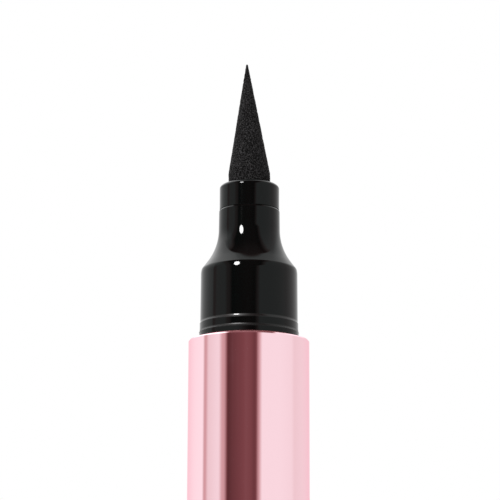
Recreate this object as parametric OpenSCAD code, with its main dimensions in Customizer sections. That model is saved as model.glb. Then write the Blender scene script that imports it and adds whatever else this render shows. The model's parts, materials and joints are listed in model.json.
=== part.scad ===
// Liquid eyeliner pen, stood upright with its cap posted on the tail and the felt tip up.
// Millimetres. +Z runs along the pen towards the tip, and the origin is the centre of the cap's closed end.

/* [Metal shells] */
// Outside diameter of the barrel and the cap
barrel_d = 9.5; // [9:0.1:11]
// Length of the barrel sleeve
sleeve_len = 90; // [75:1:105]
// Thickness of the sheet metal
sheet_t = 0.45; // [0.3:0.05:0.5]
// How far the sleeve's rolled ends come in from the outside
rim_w = 0.85; // [0.75:0.05:1]
// How far a rolled face falls away from its crest on its way out
face_fall = 0.22; // [0.1:0.01:0.3]
// Width of the bevel round a rolled face
bevel_w = 0.13; // [0.06:0.01:0.2]
// Height of the bevel round a rolled face
bevel_h = 0.1; // [0.06:0.01:0.2]
// Length of the cap
cap_len = 40; // [34:1:50]
// Rounding of the cap's closed end
cap_end_round = 0.9; // [0.6:0.1:1.4]

/* [Nozzle] */
// Height of the cap's land, from the rolled rim to the shoulder
land_len = 5.03; // [4:0.01:6.5]
// How much the land narrows on its way up to the shoulder
land_draft = 0.024; // [0.01:0.002:0.06]
// Soft rounding that leads from the land into the shoulder
lead_round = 1.85; // [1:0.05:3]
// How far the soft rounding turns, in degrees from the axis
lead_angle = 11.2; // [4:0.2:14]
// Rounding of the shoulder
shoulder_round = 0.4; // [0.3:0.05:0.8]
// Steepest slope of the flare, in degrees from the axis
flare_angle = 37; // [33:0.2:42]
// Hollow rounding of the flare
flare_round = 4.43; // [3.5:0.01:4.8]
// Diameter of the nose where the tip holder starts
nose_d = 4.83; // [4.6:0.01:5]
// Growth of the nose's radius from the tip holder down to the flare
nose_draft = 0.032; // [0.02:0.002:0.06]
// Straight length of the nose between the flare and the tip holder
nose_len = 1.7; // [1:0.05:3]
// Rounding of the nose's lip at the seam
lip_round = 0.16; // [0.08:0.01:0.2]
// Wall between the land and the collector's chamber
land_wall = 0.75; // [0.6:0.05:0.9]
// Thickness of the web above the collector's chamber
web_t = 1; // [0.6:0.1:1.5]
// Length of the section's tail inside the barrel
section_tail = 14; // [12:0.5:18]

/* [Snap rings] */
// Height of the upper ring's edge above the rim
ring_high_z = 1.19; // [1.05:0.01:1.6]
// How far the upper ring stands out from the land above it
land_step = 0.034; // [0.01:0.002:0.06]
// Height of the lower ring's edge above the rim
ring_low_z = 0.4; // [0.3:0.01:0.6]
// How far the lower ring stands out from the upper one
ring_proud = 0.05; // [0.02:0.005:0.07]
// Slope at a ring's edge, in degrees from the axis
ring_slope = 30; // [25:1:60]

/* [Tip holder] */
// Length of the holder that shows above the seam
holder_len = 2.11; // [1.8:0.01:3.2]
// How far the holder's side lies inside the nose's side
holder_step = 0.04; // [0.02:0.005:0.06]
// Rounding of the mouth, across
mouth_round = 0.52; // [0.4:0.02:0.64]
// Rounding of the mouth, in height, as a share of its width
mouth_share = 0.65; // [0.5:0.05:1.2]
// Small edge break of the holder and the plugs
seam_break = 0.05; // [0.03:0.01:0.08]
// Wall of the nose round the holder's stem
nose_wall = 0.42; // [0.35:0.01:0.5]
// Length of the holder's stem below the seam
stem_len = 5.6; // [4.5:0.1:5.9]

/* [Felt tip] */
// Diameter of the felt tip
tip_d = 3.32; // [3.1:0.02:3.4]
// Straight length that stands out of the mouth below the cone
tip_straight = 0.91; // [0.4:0.01:1.2]
// Length of the cone
cone_len = 9.15; // [6:0.05:11]
// Radius of the cone's blunt end
point_round = 0.08; // [0.05:0.01:0.15]
// Depth of the felt tip's step below the mouth
tip_seat = 2.1; // [1.6:0.1:2.2]
// Diameter of the felt tip's shank
shank_d = 2.5; // [2:0.1:2.6]
// Depth of the shank in the collector
shank_socket = 4.5; // [3:0.1:6]

/* [Ink system] */
// Wall of the ink tank
tank_wall = 0.7; // [0.5:0.05:0.8]
// Number of fins on the collector
fin_count = 17; // [8:1:18]
// Thickness of a fin
fin_t = 0.35; // [0.25:0.05:0.45]
// Gap between two fins
fin_gap = 0.45; // [0.3:0.05:0.5]
// Diameter of the collector's core
core_d = 3.6; // [3.4:0.1:4]
// Width of the air slot through the fins
slot_w = 0.5; // [0.3:0.1:0.8]
// Length of the plugs that close the ink tank
plug_len = 6; // [4:0.1:7]
// Diameter of the ink feed
feed_d = 1.5; // [1.2:0.1:1.8]
// Length of the ink feed that reaches into the tank
feed_reach = 4; // [1:0.5:8]
// Thickness of the sealing rings
seal_d = 0.9; // [0.7:0.05:1]
// Diameter of the mixing ball
ball_d = 3; // [2:0.1:4]

/* [Tail and cap] */
// Length of the tail plug's collar inside the barrel
collar_len = 4.5; // [3:0.5:8]
// Edge break at the tail spigot's end
spigot_break = 0.3; // [0.2:0.05:0.5]
// Free depth between the tail spigot and the inner cap
spigot_gap = 0.6; // [0.3:0.05:1]
// Where the inner cap's lip meets the flare, as a share of the way from the nose out to the land
seal_share = 0.55; // [0.4:0.05:0.65]
// Free length above the felt tip inside the inner cap
tip_room = 1.6; // [0.8:0.1:3]
// Thickness of the inner cap's end
inner_end = 0.8; // [0.6:0.1:1.2]
// Thickness of the web in the cap liner
liner_web = 0.8; // [0.6:0.1:1.2]
// Wall of the cap liner's skirt below its web
skirt_wall = 0.6; // [0.5:0.05:0.8]

/* [Clearances] */
// Gap between pieces that are pressed or glued together
seat_gap = 0.02; // [0.01:0.01:0.03]
// Radial clearance between the cap and the snap rings
cap_gap = 0.05; // [0.03:0.01:0.08]
// Gap between the cap's mouth and the sleeve when the cap is posted
butt_gap = 0.05; // [0.02:0.01:0.1]
// Radial clearance round the felt tip in the mouth
mouth_gap = 0.08; // [0.05:0.01:0.1]
// Gap under the mixing ball where it lies
ball_gap = 0.05; // [0.03:0.01:0.1]
// Width that a seal groove has to spare
groove_gap = 0.2; // [0.1:0.05:0.3]

/* [Hidden] */
$fn = 96;

// How far a cutting shape runs past what it cuts
overrun = 0.5;
// Steps in each rounded stretch of an outline
arc_steps = 24;

// Radii that run from the outside in
barrel_r = barrel_d / 2;
shell_bore_r = barrel_r - sheet_t;
fill_r = shell_bore_r - seat_gap;
rim_r = barrel_r - rim_w;
base_r = rim_r - seat_gap;
foot_r = base_r - land_step;
land_r = foot_r - land_draft;
ring_r = base_r + ring_proud;
cap_bore_r = ring_r + cap_gap;
chamber_r = land_r - land_wall;
tank_bore_r = fill_r - tank_wall;
plug_r = tank_bore_r - seat_gap;
groove_r = tank_bore_r - seal_d - seat_gap;

// Radii of the nose and of what it holds
nose_r = nose_d / 2;
flare_top_r = nose_r + nose_draft;
holder_r = nose_r - holder_step;
stem_r = nose_r - nose_wall - seat_gap;
tip_r = tip_d / 2;
mouth_r = tip_r + mouth_gap;
mouth_edge = min(mouth_round, holder_r - mouth_r);
shank_r = shank_d / 2;
feed_r = feed_d / 2;
ball_r = ball_d / 2;
inner_bore_r = flare_top_r + seal_share * (land_r - flare_top_r);

// Shape of the flare: a soft lead, a rounded shoulder, a straight slope, and a hollow up to the nose
nose_slope = atan(nose_draft / nose_len);
lead_end_r = land_r - lead_round * (1 - cos(lead_angle));
lead_end_z = land_len + lead_round * sin(lead_angle);
shoulder_r = lead_end_r - shoulder_round * cos(lead_angle);
shoulder_z = lead_end_z - shoulder_round * sin(lead_angle);
shoulder_end_r = shoulder_r + shoulder_round * cos(flare_angle);
shoulder_end_z = shoulder_z + shoulder_round * sin(flare_angle);
flare_fit_round = min(flare_round, (shoulder_end_r - flare_top_r) / (cos(nose_slope) - cos(flare_angle)));
hollow_r = flare_top_r + flare_fit_round * cos(nose_slope);
hollow_start_r = hollow_r - flare_fit_round * cos(flare_angle);
hollow_start_z = shoulder_end_z + (shoulder_end_r - hollow_start_r) / tan(flare_angle);
hollow_z = hollow_start_z + flare_fit_round * sin(flare_angle);
flare_top_z = hollow_z - flare_fit_round * sin(nose_slope);

// Heights above the crest of the sleeve's front rim
seam_z = flare_top_z + nose_len;
mouth_z = seam_z + holder_len;
cone_z = mouth_z + tip_straight;
point_z = cone_z + cone_len;
tip_step_z = mouth_z - tip_seat;
stem_z = seam_z - stem_len;
chamber_z = stem_z - web_t;
shank_z = chamber_z - shank_socket;
plug_top_z = -section_tail;
feed_z = plug_top_z - plug_len - feed_reach;

// The inner cap's lip meets the flare when the cap is on the front of the pen
function flare_z_at(r) = r < hollow_start_r
    ? hollow_z - sqrt(pow(flare_fit_round, 2) - pow(hollow_r - r, 2))
    : hollow_start_z - (r - hollow_start_r) / tan(flare_angle);
lip_depth = flare_z_at(inner_bore_r) + seat_gap;
cup_depth = point_z + tip_room;
web_depth = cup_depth + inner_end + seat_gap;
spigot_len = lip_depth - spigot_gap;

// Heights above the ground
sleeve_z = cap_len + butt_gap;
rim_z = sleeve_z + sleeve_len;
collar_top_z = sleeve_z + sheet_t + seat_gap + collar_len;
tank_top_z = rim_z + plug_top_z;
tail_plug_top_z = collar_top_z + plug_len;
ball_z = tail_plug_top_z + ball_gap + ball_r;

shell_colour = [0.86, 0.5, 0.56];
black = [0.06, 0.06, 0.065];
clear_plastic = [0.82, 0.84, 0.86];
rubber_grey = [0.25, 0.25, 0.27];
felt_black = [0.1, 0.1, 0.1];
feed_white = [0.9, 0.9, 0.86];
steel = [0.75, 0.76, 0.78];

// Points along a circle's arc in the outline plane
function arc(cx, cz, r, from, to) = [
    for (i = [0:arc_steps])
        let (a = from + (to - from) * i / arc_steps)
            [cx + r * cos(a), cz + r * sin(a)]
];

// A rolled end from its crest to its side: up is 1 for the top of a shell and -1 for the bottom
function rolled(crest_r, crest_z, up) = [
    [crest_r, crest_z],
    [barrel_r - bevel_w, crest_z - up * face_fall],
    [barrel_r, crest_z - up * (face_fall + bevel_h)]
];

// A ring's edge and the hollow fillet that leads from it up to the narrower wall above
function ring_edge(edge_r, above_r, z) =
    let (fillet = (edge_r - above_r) / (1 - cos(ring_slope)))
        arc(above_r + fillet, z + fillet * sin(ring_slope), fillet, 180 + ring_slope, 180);

function reversed(points) = [for (i = [len(points) - 1:-1:0]) points[i]];

// The same points seen from the pen's other end
function flipped(points) = [for (p = points) [p[0], -p[1]]];

module turned(points) {
    rotate_extrude() polygon(points);
}

module bored(r, bottom, top) {
    translate([0, 0, bottom]) cylinder(r = r, h = top - bottom);
}

// Outline of the land with its two snap rings, from the rim up to the land's end
function land_outline(top) = concat(
    [[base_r, 0]],
    ring_edge(ring_r, base_r, ring_low_z),
    ring_edge(base_r, foot_r, ring_high_z),
    [[land_r, top]]
);

// A plug that closes one end of the tank, from its flange face at zero along +Z
module tank_plug_outline() {
    middle = plug_len / 2;
    half_groove = (seal_d + groove_gap) / 2;
    turned([
        [0, 0],
        [plug_r, 0],
        [plug_r, middle - half_groove],
        [groove_r, middle - half_groove],
        [groove_r, middle + half_groove],
        [plug_r, middle + half_groove],
        [plug_r, plug_len - seam_break],
        [plug_r - seam_break, plug_len],
        [0, plug_len]
    ]);
}

module seal_ring(z) {
    middle_r = groove_r + seat_gap / 2 + seal_d / 2;
    translate([0, 0, z]) rotate_extrude() translate([middle_r, 0]) circle(d = seal_d, $fn = 32);
}

// Drawn metal cup that the hand pulls off
module cap_shell() {
    color(shell_colour) turned(concat(
        [[0, 0]],
        arc(barrel_r - cap_end_round, cap_end_round, cap_end_round, -90, 0),
        reversed(rolled(cap_bore_r, cap_len, 1)),
        [
            [cap_bore_r, cap_len - sheet_t],
            [shell_bore_r, cap_len - sheet_t],
            [shell_bore_r, cap_end_round],
            [barrel_r - cap_end_round, sheet_t],
            [0, sheet_t]
        ]
    ));
}

// Moulded sleeve that grips the snap rings, with a web that carries the inner cap
module cap_liner() {
    top = cap_len - sheet_t - seat_gap;
    web_top = cap_len - web_depth;
    color(black) difference() {
        bored(fill_r, cap_end_round, top);
        bored(cap_bore_r, web_top, top + overrun);
        bored(fill_r - skirt_wall, cap_end_round - overrun, web_top - liner_web);
    }
}

// Soft cup that keeps the felt tip wet when the cap is on the front
module inner_cap() {
    bottom = cap_len - web_depth + seat_gap;
    lip = cap_len - lip_depth;
    color(clear_plastic) difference() {
        bored(cap_bore_r - seat_gap, bottom, lip);
        bored(inner_bore_r, bottom + inner_end, lip + overrun);
    }
}

// Pink metal tube with both ends rolled in
module barrel_sleeve() {
    color(shell_colour) translate([0, 0, sleeve_z]) turned(concat(
        rolled(rim_r, 0, -1),
        reversed(rolled(rim_r, sleeve_len, 1)),
        [
            [rim_r, sleeve_len - sheet_t],
            [shell_bore_r, sleeve_len - sheet_t],
            [shell_bore_r, sheet_t],
            [rim_r, sheet_t]
        ]
    ));
}

// Gloss black nozzle: collar, snap rings, land, shoulder, flare and nose
module front_section() {
    collar_z = -(sheet_t + seat_gap);
    color(black) translate([0, 0, rim_z]) difference() {
        turned(concat(
            [[0, plug_top_z], [fill_r, plug_top_z], [fill_r, collar_z], [base_r, collar_z]],
            land_outline(land_len),
            arc(land_r - lead_round, land_len, lead_round, 0, lead_angle),
            arc(shoulder_r, shoulder_z, shoulder_round, lead_angle, flare_angle),
            arc(hollow_r, hollow_z, flare_fit_round, 180 + flare_angle, 180 + nose_slope),
            arc(nose_r - lip_round, seam_z - lip_round, lip_round, 0, 90),
            [[0, seam_z]]
        ));
        bored(chamber_r, plug_top_z - overrun, chamber_z);
        bored(shank_r + seat_gap, chamber_z - overrun, seam_z);
        bored(stem_r + seat_gap, stem_z, seam_z + overrun);
    }
}

// Short turned nose that clamps the felt tip
module tip_holder() {
    color(black) translate([0, 0, rim_z]) difference() {
        turned(concat(
            [
                [0, stem_z + seat_gap],
                [stem_r - seam_break, stem_z + seat_gap],
                [stem_r, stem_z + seat_gap + seam_break],
                [stem_r, seam_z + seat_gap],
                [holder_r - seam_break, seam_z + seat_gap],
                [holder_r, seam_z + seat_gap + seam_break]
            ],
            [
                for (p = arc(0, 0, mouth_edge, 0, 90))
                    [holder_r - mouth_edge + p[0], mouth_z + (p[1] - mouth_edge) * mouth_share]
            ],
            [[0, mouth_z]]
        ));
        bored(mouth_r, tip_step_z - seat_gap, mouth_z + overrun);
        bored(shank_r + seat_gap, stem_z - overrun, mouth_z);
    }
}

// Pressed felt: a blunt cone on a straight neck, with a thinner shank that drinks from the ink feed
module felt_tip() {
    slope = atan((tip_r - point_round) / cone_len);
    color(felt_black) translate([0, 0, rim_z]) turned(concat(
        [
            [0, shank_z + seat_gap],
            [shank_r - seam_break, shank_z + seat_gap],
            [shank_r, shank_z + seat_gap + seam_break],
            [shank_r, tip_step_z],
            [tip_r, tip_step_z],
            [tip_r, cone_z]
        ],
        arc(0, point_z - point_round, point_round, slope, 90)
    ));
}

// Comb of fins that takes up the ink which warmth pushes out of the tank
module collector() {
    fin_r = chamber_r - seat_gap;
    core_r = core_d / 2;
    pitch = fin_t + fin_gap;
    top = chamber_z - seat_gap;
    comb_bottom = top - fin_t - fin_count * pitch;
    color(clear_plastic) translate([0, 0, rim_z]) difference() {
        union() {
            turned(concat(
                [[0, plug_top_z], [fin_r, plug_top_z], [fin_r, comb_bottom]],
                [
                    for (i = [0:fin_count - 1])
                        let (z = comb_bottom + i * pitch, fin_z = z + fin_gap)
                            each [[core_r, z], [core_r, fin_z], [fin_r, fin_z], [fin_r, z + pitch]]
                ],
                [[core_r, top - fin_t], [core_r, top], [0, top]]
            ));
            translate([0, 0, plug_top_z]) mirror([0, 0, 1]) tank_plug_outline();
        }
        bored(shank_r + seat_gap, shank_z, top + overrun);
        bored(feed_r + seat_gap, plug_top_z - plug_len - overrun, top);
        for (side = [0, 180]) {
            rotate([0, 0, side]) translate([(core_r + fin_r) / 2, -slot_w / 2, comb_bottom]) {
                cube([fin_r, slot_w, top - comb_bottom + overrun]);
            }
        }
    }
}

// Porous rod between the tank and the felt tip
module ink_feed() {
    color(feed_white) translate([0, 0, rim_z]) bored(feed_r, feed_z, shank_z);
}

module front_seal_ring() {
    color(rubber_grey) seal_ring(tank_top_z - plug_len / 2);
}

module tail_seal_ring() {
    color(rubber_grey) seal_ring(collar_top_z + plug_len / 2);
}

// Moulded tube that holds the ink, closed by the collector in front and the tail plug behind
module ink_tank() {
    color(clear_plastic) difference() {
        bored(fill_r - seat_gap, collar_top_z, tank_top_z);
        bored(tank_bore_r, collar_top_z - overrun, tank_top_z + overrun);
    }
}

// Black end piece: tank plug, collar inside the sleeve, and the spigot that the cap is posted on
module tail_plug() {
    collar_z = sleeve_z + sheet_t + seat_gap;
    color(black) union() {
        translate([0, 0, sleeve_z]) turned(concat(
            [
                [0, -spigot_len],
                [land_r - spigot_break, -spigot_len],
                [land_r, -spigot_len + spigot_break]
            ],
            reversed(flipped(land_outline(spigot_len - spigot_break * 2))),
            [[base_r, collar_z - sleeve_z], [0, collar_z - sleeve_z]]
        ));
        bored(fill_r, collar_z, collar_top_z);
        translate([0, 0, collar_top_z]) tank_plug_outline();
    }
}

// Loose steel ball that stirs the ink
module mixing_ball() {
    color(steel) translate([0, 0, ball_z]) sphere(r = ball_r);
}

cap_shell();
cap_liner();
inner_cap();
barrel_sleeve();
front_section();
tip_holder();
felt_tip();
collector();
ink_feed();
front_seal_ring();
ink_tank();
tail_seal_ring();
tail_plug();
mixing_ball();
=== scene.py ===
# %% [markdown]
# A liquid eyeliner pen
#
# The pen stands upright with its cap posted on the tail, and the camera looks up at the bare felt tip.
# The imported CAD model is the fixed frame: every piece below is built around it, in metres and in its
# axes. Most of the pen is turned work, so one lathe function makes nearly all of it from short outlines.

import json
import math

import bpy
import numpy as np
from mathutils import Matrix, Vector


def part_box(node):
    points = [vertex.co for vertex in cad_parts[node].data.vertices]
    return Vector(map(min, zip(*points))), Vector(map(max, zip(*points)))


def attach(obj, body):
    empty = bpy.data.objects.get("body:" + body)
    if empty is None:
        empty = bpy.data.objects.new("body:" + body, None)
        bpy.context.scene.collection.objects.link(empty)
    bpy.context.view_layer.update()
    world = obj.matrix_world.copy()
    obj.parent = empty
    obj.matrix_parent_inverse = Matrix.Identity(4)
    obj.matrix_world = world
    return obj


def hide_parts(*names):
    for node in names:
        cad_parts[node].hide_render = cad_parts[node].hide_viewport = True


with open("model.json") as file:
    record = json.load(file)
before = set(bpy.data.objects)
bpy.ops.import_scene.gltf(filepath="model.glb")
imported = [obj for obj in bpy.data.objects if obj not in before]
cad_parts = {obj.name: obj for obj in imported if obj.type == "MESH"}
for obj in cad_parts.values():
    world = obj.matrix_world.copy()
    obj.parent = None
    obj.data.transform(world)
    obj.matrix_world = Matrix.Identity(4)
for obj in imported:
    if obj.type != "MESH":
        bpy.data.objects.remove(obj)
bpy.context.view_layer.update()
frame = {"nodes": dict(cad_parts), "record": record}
print("nodes:", ", ".join(sorted(frame["nodes"])))

# %% [markdown]
# Sizes
#
# Whatever the frame already knows is read from its boxes, so the scene follows the model when a size
# changes. The rest are roundings, steps and gaps that a box can't tell. They are kept in millimetres,
# because that is how a toolmaker thinks of such small things, and turned into metres only where points
# are made.

# %% Sizes from the frame, in millimetres
MM = 0.001


def top_of(node):
    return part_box(node)[1].z / MM


def foot_of(node):
    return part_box(node)[0].z / MM


def radius_of(node):
    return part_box(node)[1].x / MM


barrel_r = radius_of("barrel_sleeve")
fill_r = radius_of("front_section")
holder_r = radius_of("tip_holder")
tip_r = radius_of("felt_tip")
sleeve_z = foot_of("barrel_sleeve")
rim_z = top_of("barrel_sleeve")
seam_z = top_of("front_section")
mouth_z = top_of("tip_holder")
point_z = top_of("felt_tip")
print(f"barrel {2 * barrel_r:.2f} mm across, rim at {rim_z:.2f} mm, point at {point_z:.2f} mm")

# %% [markdown]
# The camera
#
# The photograph is a close-up through a long lens, taken from below the tip: the curves of the rim and of
# the seam bow upwards, and the higher one bows more, so the camera stands under both and is tilted up.
# The lens and the distance come from how much the straight barrel tapers towards the rim. A camera looks
# along its own -Z, so 90 degrees about X makes it level, and the tilt is added to that.

# %% Camera
lens_mm = 147.3
camera_distance = 158.5
camera_below_rim = 27.71
camera_right = 0.18
camera_tilt, camera_roll = 12.4, -0.2
nearest_seen = 10

camera = bpy.data.objects.new("camera", bpy.data.cameras.new("camera"))
bpy.context.scene.collection.objects.link(camera)
camera.data.lens = lens_mm
camera.data.clip_start = nearest_seen * MM
camera.location = (camera_right * MM, -camera_distance * MM, (rim_z - camera_below_rim) * MM)
camera.rotation_euler = (math.radians(90 + camera_tilt), math.radians(camera_roll), 0)
bpy.context.scene.camera = camera
bpy.context.scene.view_settings.view_transform = "Standard"
print(f"camera {camera_distance} mm away, {camera_below_rim} mm below the rim, tilted {camera_tilt} degrees")

# %% [markdown]
# Node maths as Python
#
# A shader is a graph of small nodes, and writing each one out hides the sum that they do. So one small
# class wraps a node's output and lets Python's own operators add the Math nodes. Everything else comes
# from one method that takes a node's type, its settings, and the values or links of its sockets.

# %% Shader helpers
class Value:
    """A node's output that can be added, multiplied and eased like a number."""

    def __init__(self, tree, socket):
        self.tree, self.socket = tree, socket

    def maths(self, operation, *numbers):
        return self.tree.node("Math", {"operation": operation}, dict(enumerate(numbers)))

    def __add__(self, other):
        return self.maths("ADD", self, other)

    def __radd__(self, other):
        return self.maths("ADD", other, self)

    def __sub__(self, other):
        return self.maths("SUBTRACT", self, other)

    def __rsub__(self, other):
        return self.maths("SUBTRACT", other, self)

    def __mul__(self, other):
        return self.maths("MULTIPLY", self, other)

    def __rmul__(self, other):
        return self.maths("MULTIPLY", other, self)

    def __truediv__(self, other):
        return self.maths("DIVIDE", self, other)

    def __rtruediv__(self, other):
        return self.maths("DIVIDE", other, self)

    def __abs__(self):
        return self.maths("ABSOLUTE", self)

    def ease(self, low, high):
        """0 below low, 1 above high, and a smooth curve between."""
        span = {"Value": self, "From Min": low, "From Max": high}
        return self.tree.node("MapRange", {"interpolation_type": "SMOOTHSTEP"}, span)


class Tree:
    """A node tree that is filled by calls."""

    def __init__(self, tree):
        self.tree = tree
        tree.nodes.clear()

    def node(self, kind, settings=None, sockets=None, out=0):
        made = self.tree.nodes.new("ShaderNode" + kind)
        for key, value in (settings or {}).items():
            if key == "stops":
                self.fill_ramp(made.color_ramp, value)
            else:
                setattr(made, key, value)
        for key, value in (sockets or {}).items():
            if isinstance(value, Value):
                self.tree.links.new(value.socket, made.inputs[key])
            else:
                made.inputs[key].default_value = value
        return Value(self, made.outputs[out]) if made.outputs else None

    def fill_ramp(self, ramp, stops):
        while len(ramp.elements) < len(stops):
            ramp.elements.new(1)
        for element, (place, colour) in zip(ramp.elements, stops):
            element.position = place
            element.color = (*colour, 1)

    def blend(self, share, first, second):
        """A colour between two colours. The Mix node's sockets 6 and 7 are its two colours."""
        sides = {"Factor": share, 6: first, 7: second}
        return self.node("Mix", {"data_type": "RGBA"}, sides, out=2)


def grey(level):
    return (level, level, level)


print("helpers ready")

# %% [markdown]
# The studio
#
# Gloss black and mirror-bright pink have almost no look of their own: they show the room. The
# photograph's reflections tell what stood there: white walls with a thin dark gap far on the left, soft
# lights high behind on both sides, and a dark rose awning that starts in front of the pen, beside the
# lens, and runs up over it. Modelling the room from flat cards would work too, but their edges would need
# fitting one by one. The world draws it by direction instead, as sums of a few smooth steps.

# %% Directions in the world
world = bpy.data.worlds.new("studio")
bpy.context.scene.world = world
world.use_nodes = True
sky = Tree(world.node_tree)
direction = sky.node("TexCoord", out="Generated")
across = sky.node("SeparateXYZ", None, {0: direction}, out="X")
away = sky.node("SeparateXYZ", None, {0: direction}, out="Y")
height = sky.node("SeparateXYZ", None, {0: direction}, out="Z")
forward = 0 - away
compass = across.maths("ARCTAN2", across, forward) / math.radians(1)
sideways = across.maths("ARCSINE", across) / math.radians(1)
BRIGHTEST = 1.2


def bands(angle, stops):
    """Brightness read off a list of (angle in degrees, level) by a ramp, whose places run from 0 to 1."""
    ramp = [((a + 180) / 360, grey(b / BRIGHTEST)) for a, b in stops]
    looked_up = sky.node("ValToRGB", {"stops": ramp}, {0: (angle + 180) / 360})
    return sky.node("RGBToBW", None, {0: looked_up}) * BRIGHTEST


def facing(bearing, rise):
    """How squarely a direction looks at a place on the sky, 1 at its middle. The camera's bearing is 0."""
    bearing, rise = math.radians(bearing), math.radians(rise)
    towards = (math.cos(rise) * math.sin(bearing), -math.cos(rise) * math.cos(bearing), math.sin(rise))
    return sky.node("VectorMath", {"operation": "DOT_PRODUCT"}, {0: direction, 1: towards}, out="Value")


print("compass, sideways angle and height are ready")

# %% [markdown]
# The walls go by compass bearing, 0 towards the camera and left below zero. The awning is a sheet whose
# two long edges run straight overhead, so what counts for them is how far sideways a direction leans, and
# not its bearing. Its far end lies just short of straight above the pen and bows, and its near end hangs
# a little below the level of the eye. High up it spreads on the right and gathers in on the left, as a
# sheet does that isn't pulled square.

# %% Walls and awning
walls = [
    (-180, 1.06), (-97, 1.06), (-92, 0.66), (-88, 0.66), (-82, 0.88), (-64, 0.95), (-40, 1.0),
    (60, 1.0), (88, 0.97), (96, 0.9), (180, 1.06),
]
awning = [
    (-180, 1.0), (-57, 1.0), (-51, 0.7), (-46, 0.62), (-39, 0.075), (-30, 0.125), (-5, 0.215),
    (4, 0.2), (11, 0.14), (14, 0.2), (19, 0.62), (25, 1.0), (180, 1.0),
]
far_turn, far_bow = 0.047, 0.47
far_end = (0.027, 0.097)
near_lean, near_end = 0.1, (-0.1, -0.055)
spread, spread_height, spread_side = 13, (0.2, 0.34), (3, 15)
gather, gather_height, gather_side = 8, (0.65, 0.85), (5, 25)

far_side = (forward + across * far_turn + across * across * far_bow).ease(*far_end)
near_side = (height + across * near_lean).ease(*near_end)
spreading = height.ease(*spread_height) * sideways.ease(*spread_side) * spread
gathering = height.ease(*gather_height) * (0 - sideways).ease(*gather_side) * gather
awning_level = bands(sideways - spreading - gathering, awning)
shade = 1 - far_side * near_side * (1 - awning_level)
print(len(walls), "wall bands and", len(awning), "awning bands")

# %% [markdown]
# The soft lights
#
# A brighter ceiling and one soft light on either side, high and behind the pen. They lift the glancing
# sides of the black nozzle and draw the lit band round its flare. They are part of the world and not
# lamps, because their edges are so soft that only their reflections matter.

# %% Soft lights
ceiling_light, ceiling_height = 0.45, (0.75, 0.95)
lights_height = (0.25, 0.5)
soft_lights = [
    {"strength": 0.9, "bearing": -125, "rise": 45, "edge": (0.65, 0.97)},
    {"strength": 0.4, "bearing": 140, "rise": 40, "edge": (0.9, 0.99)},
]

brightness = bands(compass, walls) + height.ease(*ceiling_height) * ceiling_light
for light in soft_lights:
    patch = facing(light["bearing"], light["rise"]).ease(*light["edge"])
    brightness = brightness + patch * height.ease(*lights_height) * light["strength"]
brightness = brightness * shade
print(len(soft_lights), "soft lights")

# %% [markdown]
# The awning is rose, not grey, which is what turns the pale pink metal to burgundy where it mirrors it. A
# tint that deepens as the bands darken does this for the awning and for its soft edges alike. Where the
# room is brighter than white, the tint stays white and is scaled up. The camera itself sees plain white
# behind the pen, as in the photograph: its rays are told apart from mirrored ones, so no light is added
# for it.

# %% Tint, and plain white for the camera
DEEP_ROSE, AWNING_ROSE, SHADE_ROSE = (0.04, 0.01, 0.011), (0.2, 0.075, 0.08), (0.68, 0.47, 0.47)
WHITE = (1, 1, 1, 1)
tints = [(0.0, DEEP_ROSE), (0.2, AWNING_ROSE), (0.66, SHADE_ROSE), (1.0, grey(1.0))]
tinted = sky.node("ValToRGB", {"stops": tints}, {0: brightness})
over_white = brightness.maths("MAXIMUM", brightness, 1.0)
lifted = sky.node("VectorMath", {"operation": "SCALE"}, {0: tinted, "Scale": over_white})
seen_by_camera = sky.node("LightPath", out="Is Camera Ray")
room = sky.node("Background", None, {"Color": sky.blend(seen_by_camera, lifted, WHITE), "Strength": 1.0})
sky.node("OutputWorld", None, {"Surface": room})
print("world ready")

# %% [markdown]
# The small lamp
#
# Each rounded black edge carries one hard white spot, at the same side of the pen, and the straight walls
# carry none. So one small bright lamp stands well above the line of sight, on the left. The spots are
# taller than their edges alone would make them, so it is taller than it is wide. A bright patch in the
# world would be mirrored alike, but a lamp is aimed at directly by the renderer, so its shadow has no
# grain. A light's power is its brightness times pi times its area, and an ellipse's area is pi / 4 times
# its two widths.

# %% Lamp
lamp_bearing, lamp_rise, lamp_distance = -30.5, 25.8, 600
lamp_width, lamp_tall = 135, 180
lamp_brightness = 76

lamp = bpy.data.objects.new("small_lamp", bpy.data.lights.new("small_lamp", "AREA"))
bpy.context.scene.collection.objects.link(lamp)
lamp.data.shape = "ELLIPSE"
lamp.data.size, lamp.data.size_y = lamp_width * MM, lamp_tall * MM
lamp_area = math.pi / 4 * lamp.data.size * lamp.data.size_y
lamp.data.energy = lamp_brightness * math.pi * lamp_area
bearing, rise = math.radians(lamp_bearing), math.radians(lamp_rise)
reach = lamp_distance * MM
lamp.location = (
    reach * math.cos(rise) * math.sin(bearing),
    -reach * math.cos(rise) * math.cos(bearing),
    rim_z * MM + reach * math.sin(rise),
)
lamp.rotation_euler = (math.pi / 2 - rise, 0, bearing)
lamp.visible_camera = False
print(f"lamp of {lamp.data.energy:.2f} W")

# %% [markdown]
# The floor
#
# A pale matt table under the cap. The photograph never shows it, but the other views do, and it keeps the
# pen's soft shadow. It is a plain square.
# Its material also shows how every finish below is made: constants go straight on the shader's sockets,
# and a small function gives what varies.

# %% Floor
FLOOR_PALE = (0.6, 0.595, 0.59, 1)
floor_half = 1500
paper_scale = 900.0
paper_roughness, paper_variation = 0.62, 0.1


def surface(name, settings, painted=None):
    """A material whose constants sit on the shader's own sockets, and whose painted sockets take links."""
    material = bpy.data.materials.new(name)
    material.use_nodes = True
    tree = Tree(material.node_tree)
    links = painted(tree) if painted else {}
    shader = tree.node("BsdfPrincipled", None, {**settings, **links})
    tree.node("OutputMaterial", None, {"Surface": shader})
    return material


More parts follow.
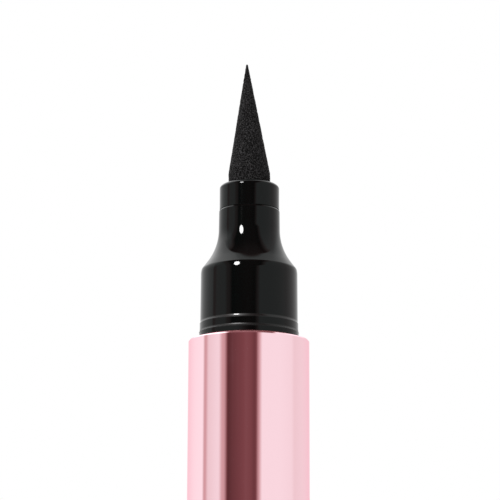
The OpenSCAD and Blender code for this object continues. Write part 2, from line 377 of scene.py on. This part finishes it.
def mesh_object(name, points, faces, material):
    mesh = bpy.data.meshes.new(name)
    mesh.from_pydata([tuple(p) for p in points], [], faces)
    mesh.materials.append(material)
    made = bpy.data.objects.new(name, mesh)
    bpy.context.scene.collection.objects.link(made)
    return made


def paper_grain(tree):
    place = tree.node("TexCoord", out="Object")
    grain = tree.node("TexNoise", None, {"Vector": place, "Scale": paper_scale, "Detail": 3.0})
    return {"Roughness": paper_roughness + grain * paper_variation}


table = surface("matt_table", {"Base Color": FLOOR_PALE}, paper_grain)
half = floor_half * MM
corners = [(x * half, y * half, 0) for x, y in ((-1, -1), (1, -1), (1, 1), (-1, 1))]
floor = mesh_object("floor", corners, [(0, 1, 2, 3)], table)
print("floor", 2 * floor_half, "mm across")

# %% [markdown]
# The lathe
#
# A turned piece is an outline of (radius, height) points spun round the axis. The outline runs up the
# outside and comes back down the inside, so the piece is one closed skin like the real one. A Screw
# modifier could spin it too, but here a closed outline, and one that starts and ends on the axis, take
# the same few lines. Smooth shading blends the slopes of neighbouring faces, which a mirror finish shows
# at once as a wavy reflection. Two things prevent it: edges sharper than the lathe's own facets stay
# crisp, and each long straight gets a point close to both its ends.

# %% Lathe
TURNS = 240
CRISP_DEGREES = 16
SUPPORT = 0.03
ON_AXIS = 1e-9


def arc(centre_r, centre_z, radius, start, end, steps=20):
    """Points along a circle's arc in the outline plane, angles in degrees."""
    angles = np.radians(np.linspace(start, end, steps + 1))
    return [(centre_r + radius * math.cos(a), centre_z + radius * math.sin(a)) for a in angles]


def supported(outline, closed):
    """Adds a point close to both ends of each long straight, so that its shading stays straight too."""
    out = []
    ends = outline[1:] + outline[:1] if closed else outline[1:]
    for (r0, z0), (r1, z1) in zip(outline, ends):
        out.append((r0, z0))
        length = math.hypot(r1 - r0, z1 - z0)
        if length > 4 * SUPPORT:
            for share in (SUPPORT / length, 1 - SUPPORT / length):
                out.append((r0 + (r1 - r0) * share, z0 + (z1 - z0) * share))
    return out if closed else out + outline[-1:]


def turn(name, outline, material, closed=True):
    """Spins an outline in millimetres: a closed one makes a ring, an open one runs from axis to axis."""
    points, rings, faces = [], [], []
    spin = [2 * math.pi * i / TURNS for i in range(TURNS)]
    for r, z in supported(outline, closed):
        if r < ON_AXIS:
            rings.append([len(points)] * TURNS)
            points.append((0, 0, z * MM))
        else:
            rings.append(list(range(len(points), len(points) + TURNS)))
            points += [(r * math.cos(a) * MM, r * math.sin(a) * MM, z * MM) for a in spin]
    above = rings[1:] + rings[:1] if closed else rings[1:]
    for low, high in zip(rings, above):
        for i in range(TURNS):
            j = (i + 1) % TURNS
            corners = (low[i], low[j], high[j], high[i])
            faces.append(tuple(dict.fromkeys(corners)))
    piece = mesh_object(name, points, faces, material)
    piece.data.polygons.foreach_set("use_smooth", [True] * len(faces))
    piece.data.set_sharp_from_angle(angle=math.radians(CRISP_DEGREES))
    print(f"{name}: {len(points)} points, {len(faces)} faces")
    return piece


def lifted_to(base_z, outline):
    return [(r, z + base_z) for r, z in outline]


# %% [markdown]
# Pink metal
#
# The barrel and the cap are drawn aluminium, polished and dyed pink: metallic all over, nearly a mirror,
# with a faint lengthwise drawing grain and a soft cloudiness that only the roughness shows. The grain is
# noise squeezed hard across the axis and stretched along it. The turned-in ends are rough, as an
# unpolished edge, and their pink is painted darker: painted shade, standing for the dark plastic and the
# shaded room that they mirror. Both go by height alone: a mask costs less than a second material on a
# band of faces, and its edge is soft.

# %% Pink metal material
PALE_PINK, EDGE_PINK = (0.955, 0.675, 0.735, 1), (0.95, 0.7, 0.75, 1)
# Painted shade: the darker pink on the turned-in ends stands for the dark that they mirror.
CREST_SHADE_PINK = (0.55, 0.22, 0.23, 1)
crests = [rim_z, top_of("cap_shell"), sleeve_z]
crest_shade_reach, grain_reach, cloud_reach = (0.205, 0.225), (0.45, 0.8), (0.5, 0.75)
grain_squeeze, cloud_scale = (9000, 9000, 60), 260.0
mirror_polish, grain_roughness, cloud_roughness, crest_roughness = 0.035, 0.03, 0.02, 0.45


def grain_and_crest_shade(tree):
    place = tree.node("TexCoord", out="Object")
    z = tree.node("SeparateXYZ", None, {0: place}, out="Z") / MM
    stretched = tree.node("VectorMath", {"operation": "MULTIPLY"}, {0: place, 1: grain_squeeze})
    grain = tree.node("TexNoise", None, {"Vector": stretched, "Scale": 1.0, "Detail": 2.0})
    cloud = tree.node("TexNoise", None, {"Vector": place, "Scale": cloud_scale, "Detail": 3.0})
    # Near each crest the colour is painted shade, and the roughness is a rough unpolished edge.
    crest_shade_and_roughness = 0
    for crest in crests:
        crest_shade_and_roughness = crest_shade_and_roughness + (1 - abs(z - crest).ease(*crest_shade_reach))
    crest_shade_and_roughness = crest_shade_and_roughness.maths("MINIMUM", crest_shade_and_roughness, 1.0)
    polish = mirror_polish + grain.ease(*grain_reach) * grain_roughness
    polish = polish + cloud.ease(*cloud_reach) * cloud_roughness
    return {
        "Base Color": tree.blend(crest_shade_and_roughness, PALE_PINK, CREST_SHADE_PINK),
        "Roughness": polish + crest_shade_and_roughness * crest_roughness,
    }


pink_metal = surface("pink_anodised", {"Metallic": 1.0, "Specular Tint": EDGE_PINK}, grain_and_crest_shade)
print("pink metal ready")

# %% [markdown]
# Barrel sleeve
#
# A thin tube whose two ends are turned in over the black plastic. Each end is a gently sloping face,
# whose crest is its inner edge, and a narrow bevel round the outside. The face mirrors the black plastic
# beside it and carries the pink metal's painted shade, and the bevel mirrors the room and draws the bright
# line at its edge. A smooth roll could stand there too, but it mirrors the room as one broad blur, where
# the photograph shows a narrow bright line beside a dusky face.

# %% Barrel sleeve
sheet_t = 0.45
rim_w, face_fall = 0.85, 0.22
bevel_w, bevel_h = 0.07, 0.1
rim_r = barrel_r - rim_w


def turned_end(crest_r, crest_z, up):
    """From the crest out to the side; up is 1 for a tube's top and -1 for its foot."""
    bevel_z = crest_z - up * face_fall
    return [(crest_r, crest_z), (barrel_r - bevel_w, bevel_z), (barrel_r, bevel_z - up * bevel_h)]


bore_r = barrel_r - sheet_t
outline = turned_end(rim_r, sleeve_z, -1) + turned_end(rim_r, rim_z, 1)[::-1]
outline += [(rim_r, rim_z - sheet_t), (bore_r, rim_z - sheet_t)]
outline += [(bore_r, sleeve_z + sheet_t), (rim_r, sleeve_z + sheet_t)]
sleeve = turn("pink_barrel", outline, pink_metal)
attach(sleeve, "pen")
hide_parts("barrel_sleeve")

# %% [markdown]
# Cap
#
# The same sheet, drawn to a cup with a rounded closed end, as deep drawing leaves it. Its mouth is turned
# in over the moulded liner like the barrel's ends, so it uses the same function. The outline starts and
# ends on the axis, because a cup has no hole at its foot.

# %% Cap shell
cap_z = top_of("cap_shell")
cap_round, cap_gap = 0.9, 0.05
mouth_bore_r = rim_r + cap_gap

outline = [(0, 0)] + arc(barrel_r - cap_round, cap_round, cap_round, -90, 0)
outline += turned_end(mouth_bore_r, cap_z, 1)[::-1]
outline += [(mouth_bore_r, cap_z - sheet_t), (bore_r, cap_z - sheet_t)]
outline += [(bore_r, cap_round), (barrel_r - cap_round, sheet_t), (0, sheet_t)]
cap = turn("pink_cap", outline, pink_metal, closed=False)
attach(cap, "cap")
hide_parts("cap_shell")

# %% [markdown]
# Gloss black plastic
#
# The nozzle, its holder and the tail plug come from polished moulds. Black plastic this glossy shows
# almost only its mirror: a low index of refraction keeps the face dark and lets the glancing sides light
# up, as in the photograph. A very faint orange peel, as a bump, moves the reflections' edges a little.
# The cap has rubbed the two rings dull, which spreads the lamp's spot into a line: there a hazy clear
# coat is added, by height, and the lower ring is rougher as well.

# %% Gloss black material
NOZZLE_BLACK = (0.0005, 0.0014, 0.0013, 1)
ring_low_z, ring_high_z = 0.42, 1.15
rubbed_above, rubbed_reach = 0.06, (0.06, 0.14)
wear_reach = (0.5, 0.8)
low_coat, high_coat, low_roughness = 0.3, 0.5, 0.35
mould_polish, wear_roughness = 0.045, 0.015
peel_scale, wear_scale = 700.0, 2400.0
peel_strength, peel_depth = 0.02, 0.00002


def mould_finish(tree):
    place = tree.node("TexCoord", out="Object")
    z = tree.node("SeparateXYZ", None, {0: place}, out="Z") / MM - rim_z - rubbed_above
    low, high = (1 - abs(z - edge).ease(*rubbed_reach) for edge in (ring_low_z, ring_high_z))
    peel = tree.node("TexNoise", None, {"Vector": place, "Scale": peel_scale, "Detail": 1.0})
    wear = tree.node("TexNoise", None, {"Vector": place, "Scale": wear_scale, "Detail": 4.0})
    bump = tree.node("Bump", None, {"Height": peel, "Strength": peel_strength, "Distance": peel_depth})
    polish = mould_polish + wear.ease(*wear_reach) * wear_roughness
    return {
        "Normal": bump,
        "Roughness": polish + low * low_roughness,
        "Coat Weight": low * low_coat + high * high_coat,
    }


gloss = {"Base Color": NOZZLE_BLACK, "IOR": 1.27, "Coat Roughness": 0.4}
gloss_black = surface("gloss_black", gloss, mould_finish)
print("gloss black ready")

# %% [markdown]
# Nozzle
#
# From the rim up: two fine rings, each an outward step with a small hollow above it, the land that the
# cap slides on, a rounded shoulder, the hollow flare, and the nose, which ends in a narrow chamfer at the
# seam. Its bore is stepped for what sits inside.
#
# On a mirror-black cone the slopes matter more than the places. The flare looks straight, but it bends by
# under three degrees, and that alone decides where the dark awning's reflection ends and the lit band
# begins. So its two ends are given as slopes, and a curve with those slopes joins them. The chamfer is
# there for the same reason: it catches the fine line of light that marks the seam.

# %% Nozzle sizes, heights measured from the rim
seat_gap = 0.02
base_r = rim_r - seat_gap
ring_proud, land_step, land_draft = 0.05, 0.034, 0.024
foot_r = base_r - land_step
land_r = foot_r - land_draft
low_hollow, high_hollow = 0.3, 0.5
land_len = 5.06
lead_round, lead_angle = 1.85, 11.2
shoulder_round, flare_round = 0.4, 4.43
flare_start, flare_end = 38.4, 35.8
holder_step = 0.04
nose_r = holder_r + holder_step
nose_draft, nose_len = 0.018, 1.62
lip_w, lip_fall = 0.065, 0.12
land_wall, nose_wall, web_t = 0.75, 0.42, 1
shank_r, stem_len = 1.27, 5.6

nose_top = seam_z - rim_z
tail_z = foot_of("front_section") - rim_z
collar_z = -sheet_t - seat_gap
chamber_r = land_r - land_wall
stem_r = nose_r - nose_wall
stem_z = nose_top - stem_len
chamber_z = stem_z - web_t
print(f"nose {2 * nose_r:.2f} mm across, land {2 * land_r:.2f} mm, seam {nose_top:.2f} mm above the rim")

# %% Nozzle
def ring_edge(edge_r, above_r, z, hollow_round):
    """A ring's edge and the small hollow that leads from it up to the narrower wall above."""
    slope = math.acos(1 - (edge_r - above_r) / hollow_round)
    centre_z = z + hollow_round * math.sin(slope)
    return arc(above_r + hollow_round, centre_z, hollow_round, 180 + math.degrees(slope), 180)


def bend(start, start_angle, end, end_angle, steps=12):
    """A gentle curve between two points, along a slope at each, in degrees from the axis."""
    (r0, z0), (r2, z2) = start, end
    t0, t2 = math.tan(math.radians(start_angle)), math.tan(math.radians(end_angle))
    z1 = (r0 - r2 + t0 * z0 - t2 * z2) / (t0 - t2)
    r1 = r0 - t0 * (z1 - z0)
    curve = []
    for s in (i / steps for i in range(1, steps)):
        first, middle, last = (1 - s) ** 2, 2 * s * (1 - s), s * s
        curve.append((first * r0 + middle * r1 + last * r2, first * z0 + middle * z1 + last * z2))
    return curve


rings = ring_edge(base_r + ring_proud, base_r, ring_low_z, low_hollow)
rings += ring_edge(base_r, foot_r, ring_high_z, high_hollow)
lead = arc(land_r - lead_round, land_len, lead_round, 0, lead_angle)
lead_r, lead_z = lead[-1]
lead_slope = math.radians(lead_angle)
shoulder_r = lead_r - shoulder_round * math.cos(lead_slope)
shoulder_z = lead_z - shoulder_round * math.sin(lead_slope)
shoulder = arc(shoulder_r, shoulder_z, shoulder_round, lead_angle, flare_start, steps=12)
nose_slope = math.atan(nose_draft / nose_len)
hollow_r = nose_r + nose_draft + flare_round * math.cos(nose_slope)
hollow_z = nose_top - nose_len + flare_round * math.sin(nose_slope)
hollow_end = 180 + math.degrees(nose_slope)
hollow = arc(hollow_r, hollow_z, flare_round, 180 + flare_end, hollow_end, steps=40)
flare = bend(shoulder[-1], flare_start, hollow[0], flare_end)

outline = [(chamber_r, tail_z), (fill_r, tail_z), (fill_r, collar_z), (base_r, collar_z), (base_r, 0)]
outline += rings + lead + shoulder + flare + hollow
outline += [(nose_r, nose_top - lip_fall), (nose_r - lip_w, nose_top), (stem_r, nose_top)]
outline += [(stem_r, stem_z), (shank_r, stem_z), (shank_r, chamber_z), (chamber_r, chamber_z)]
nozzle = turn("black_nozzle", lifted_to(rim_z, outline), gloss_black)
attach(nozzle, "pen")
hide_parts("front_section")

# %% [markdown]
# Tail plug
#
# The black end piece at the barrel's other end: a plug with a groove for its rubber ring, a collar inside
# the sleeve, and the spigot that the cap is pushed on. The spigot repeats the land and the rings upside
# down, because one cap fits both ends, so it reuses the nozzle's own ring points. It is seen as soon as
# the cap comes off.

# %% Tail plug
spigot_break, plug_break = 0.3, 0.05
tank_wall, seal_d, groove_half = 0.7, 0.9, 0.55
spigot_foot = foot_of("tail_plug")
collar_top = foot_of("ink_tank")
plug_top = top_of("tail_plug")
plug_r = fill_r - tank_wall - seat_gap
groove_r = radius_of("tail_seal_ring") - seal_d - seat_gap / 2
groove_z = (collar_top + plug_top) / 2
land_end = spigot_foot + 2 * spigot_break

outline = [(0, spigot_foot), (land_r - spigot_break, spigot_foot)]
outline += [(land_r, spigot_foot + spigot_break), (land_r, land_end)]
outline += [(r, sleeve_z - z) for r, z in reversed(rings)]
outline += [(base_r, sleeve_z), (base_r, sleeve_z - collar_z), (fill_r, sleeve_z - collar_z)]
outline += [(fill_r, collar_top), (plug_r, collar_top)]
outline += [(plug_r, groove_z - groove_half), (groove_r, groove_z - groove_half)]
outline += [(groove_r, groove_z + groove_half), (plug_r, groove_z + groove_half)]
outline += [(plug_r, plug_top - plug_break), (plug_r - plug_break, plug_top), (0, plug_top)]
tail = turn("black_tail_plug", outline, gloss_black, closed=False)
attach(tail, "pen")
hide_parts("tail_plug")

# %% [markdown]
# Tip holder
#
# The short nose above the seam is its own moulding, pressed into the nozzle. Its foot is broken only
# slightly, so that hardly any shade shows above the nozzle's bright chamfer. Its mouth is rounded right
# down to the felt, and flatter than a circle: an arc of a circle, pressed down, gives that quarter
# ellipse.

# %% Tip holder
mouth_gap, tip_seat = 0.08, 2.12
seam_break = 0.015
mouth_round, mouth_share = 0.52, 0.68
mouth_r = tip_r + mouth_gap
holder_top = mouth_z - rim_z
seat_z = holder_top - tip_seat
mouth_edge = min(mouth_round, holder_r - mouth_r)
seam = nose_top + seat_gap
edge_r = holder_r - mouth_edge

foot_z = stem_z + seat_gap
outline = [(shank_r, foot_z), (stem_r - seat_gap, foot_z), (stem_r - seat_gap, seam)]
outline += arc(holder_r - seam_break, seam + seam_break, seam_break, -90, 0, steps=6)
quarter = arc(0, 0, mouth_edge, 0, 90)
outline += [(edge_r + r, holder_top + (z - mouth_edge) * mouth_share) for r, z in quarter]
outline += [(mouth_r, holder_top), (mouth_r, seat_z), (shank_r, seat_z)]
holder = turn("black_tip_holder", lifted_to(rim_z, outline), gloss_black)
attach(holder, "pen")
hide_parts("tip_holder")

# %% [markdown]
# Felt
#
# Pressed felt has no strands that can be told apart: the photograph shows a black cone with a fine light
# fleck all over. Hair particles would show strands and take long to render, so the material does the
# work. Two patterns make the fleck, soft clumps of noise and the paler cut ends of fibres as Voronoi
# dots, and the same fleck drives a bump. A little sheen lights the fuzz at the glancing sides.

# %% Felt material
FELT_DEEP, FELT_FLECK = (0.001, 0.001, 0.001, 1), (0.038, 0.038, 0.039, 1)
clump_scale, fibre_scale = 10500.0, 14000.0
clump_share, fibre_share = 0.55, 0.6
clump_reach, fibre_reach, tuft_reach = (0.45, 0.66), (0.12, 0.5), (0.45, 0.55)
fleck_strength, fleck_depth = 0.5, 0.00003


def felt_fibres(tree):
    place = tree.node("TexCoord", out="Object")
    clumps = tree.node("TexNoise", None, {"Vector": place, "Scale": clump_scale, "Detail": 2.0})
    ends = tree.node("TexVoronoi", {"feature": "F1"}, {"Vector": place, "Scale": fibre_scale})
    dots = (1 - ends.ease(*fibre_reach)) * clumps.ease(*tuft_reach)
    fleck = clumps.ease(*clump_reach) * clump_share + dots * fibre_share
    bump = tree.node("Bump", None, {"Height": fleck, "Strength": fleck_strength, "Distance": fleck_depth})
    return {"Base Color": tree.blend(fleck, FELT_DEEP, FELT_FLECK), "Normal": bump}


dull = {"Roughness": 0.95, "Specular IOR Level": 0.08, "Sheen Weight": 0.09, "Sheen Roughness": 0.3}
felt_black = surface("black_felt", dull, felt_fibres)
print("felt ready")

# %% [markdown]
# Felt tip
#
# A shank that reaches down to the ink, a short straight neck and a long cone with a blunt point, turned
# like the rest but on a fine grid. Then every point above the mouth is pushed in or out by about a
# hundredth of a millimetre, by smooth noise from fixed seeds, so the outline is slightly fuzzy and the
# same in every render. The photographed tip leans a little to the left, so each point is also shifted by
# its height. The push outwards is capped at the fuzz, so that no point sticks out. A Displace modifier
# could push the points too, but not with a cap.

# %% Felt tip outline, heights measured from the rim
cone_len, point_round = 9.15, 0.08
hidden_neck, grid = 0.3, 0.07
edge_half, edge_step = 0.03, 0.004
shank_foot = foot_of("felt_tip") - rim_z
tip_top = point_z - rim_z
cone_foot = tip_top - cone_len
steps = int(cone_len / grid)

outline = [(0, shank_foot), (shank_r - seat_gap, shank_foot), (shank_r - seat_gap, seat_z + seat_gap)]
outline += [(tip_r, seat_z + seat_gap)]
outline += [(tip_r, z) for z in np.arange(holder_top - hidden_neck, cone_foot - grid, grid)]
outline += [(tip_r, cone_foot - edge_half), (tip_r - edge_step, cone_foot + edge_half)]
for i in range(2, steps):
    share = i / steps
    narrowed = (tip_r - point_round) * share
    outline.append((tip_r - narrowed, cone_foot + (cone_len - point_round) * share))
cone_slope = math.degrees(math.atan((tip_r - point_round) / cone_len))
outline += arc(0, tip_top - point_round, point_round, cone_slope, 90, steps=8)[:-1]
outline += [(0, tip_top)]
felt = turn("felt_cone", lifted_to(rim_z, outline), felt_black, closed=False)

# %% Fuzz and lean
tip_lean, fuzz = -0.235, 0.012
fine_wave, fine_share, fine_seed = 0.22, 0.7, 3
broad_wave, broad_share, broad_seed = 0.5, 0.5, 4
fuzz_starts, fuzz_core = 0.2, 0.3
size_spread = (0.7, 1.4)


def waves(points, size, seed, count=40):
    """Smooth noise at the points: a sum of plane waves of about one size in seeded directions."""
    random = np.random.default_rng(seed)
    headings = random.normal(size=(count, 3))
    lengths = np.linalg.norm(headings, axis=1)
    headings *= (2 * math.pi / size * random.uniform(*size_spread, count) / lengths)[:, None]
    starts = random.uniform(0, 2 * math.pi, count)
    return np.sin(points @ headings.T + starts).sum(1) / math.sqrt(count / 2)


points = np.array([v.co for v in felt.data.vertices]) / MM
above = np.clip(points[:, 2] - rim_z - holder_top, 0, None)
outward = np.hypot(points[:, 0], points[:, 1])
push = fine_share * waves(points, fine_wave, fine_seed)
push += broad_share * waves(points, broad_wave, broad_seed)
push *= fuzz * np.clip(above / fuzz_starts, 0, 1) * np.clip(outward / fuzz_core, 0, 1)
push = np.minimum(push, fuzz)
points[:, :2] *= (1 + push / np.maximum(outward, ON_AXIS))[:, None]
points[:, 0] += tip_lean * above / (point_z - mouth_z)
felt.data.vertices.foreach_set("co", (points * MM).ravel())
felt.data.update()
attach(felt, "pen")
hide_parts("felt_tip")
print(f"fuzz of up to {np.abs(push).max():.3f} mm")

# %% [markdown]
# Hidden pieces
#
# What sits inside keeps its CAD shape and gets its own finish, because the cap comes off and a reader may
# open the file. All are moulded, drawn or ground surfaces, so one function serves: a colour, and a
# roughness that a little noise moves between two levels. Only the ink feed is stained in its colour too.

# %% Finishes of the hidden pieces
mould_scale, fibre_clump_scale, fibre_rough_scale = 900.0, 2500.0, 2000.0
FIBRE_DARK, FIBRE_PALE = (0.03, 0.03, 0.032, 1), (0.12, 0.115, 0.11, 1)
stain_reach = (0.35, 0.65)


def mottled(tree, scale, low, high):
    place = tree.node("TexCoord", out="Object")
    cloud = tree.node("TexNoise", None, {"Vector": place, "Scale": scale, "Detail": 3.0})
    return low + cloud * (high - low)


def moulded(name, colour, settings, low=0.3, high=0.5):
    def roughness(tree):
        return {"Roughness": mottled(tree, mould_scale, low, high)}

    return surface(name, {"Base Color": colour, **settings}, roughness)


def stained(tree):
    share = mottled(tree, fibre_clump_scale, low=0.0, high=1.0).ease(*stain_reach)
    return {
        "Base Color": tree.blend(share, FIBRE_DARK, FIBRE_PALE),
        "Roughness": mottled(tree, fibre_rough_scale, low=0.8, high=1.0),
    }


finishes = {
    "liner_plastic": moulded("satin_black", (0.012, 0.012, 0.013, 1), {"IOR": 1.45}),
    "seal_plastic": moulded("soft_white", (0.8, 0.81, 0.82, 1), {"IOR": 1.5}),
    "collector_plastic": moulded("clear_grey", (0.6, 0.62, 0.64, 1), {"IOR": 1.5}, low=0.12, high=0.25),
    "feed_fibre": surface("inked_fibre", {"IOR": 1.4}, stained),
    "seal_rubber": moulded("seal_rubber", (0.02, 0.02, 0.022, 1), {"IOR": 1.5}, low=0.5, high=0.7),
    "tank_plastic": moulded("frosted_tank", (0.62, 0.64, 0.66, 1), {"IOR": 1.5}),
    "ball_steel": moulded("ball_steel", (0.72, 0.73, 0.74, 1), {"Metallic": 1.0}, low=0.08, high=0.16),
}
slots = {entry["node"]: entry["material_slot"] for entry in frame["record"]["subparts"]}
for node, piece in frame["nodes"].items():
    if slots[node] in finishes and not piece.hide_render:
        piece.data.materials.clear()
        piece.data.materials.append(finishes[slots[node]])
        print(node, "has", finishes[slots[node]].name)
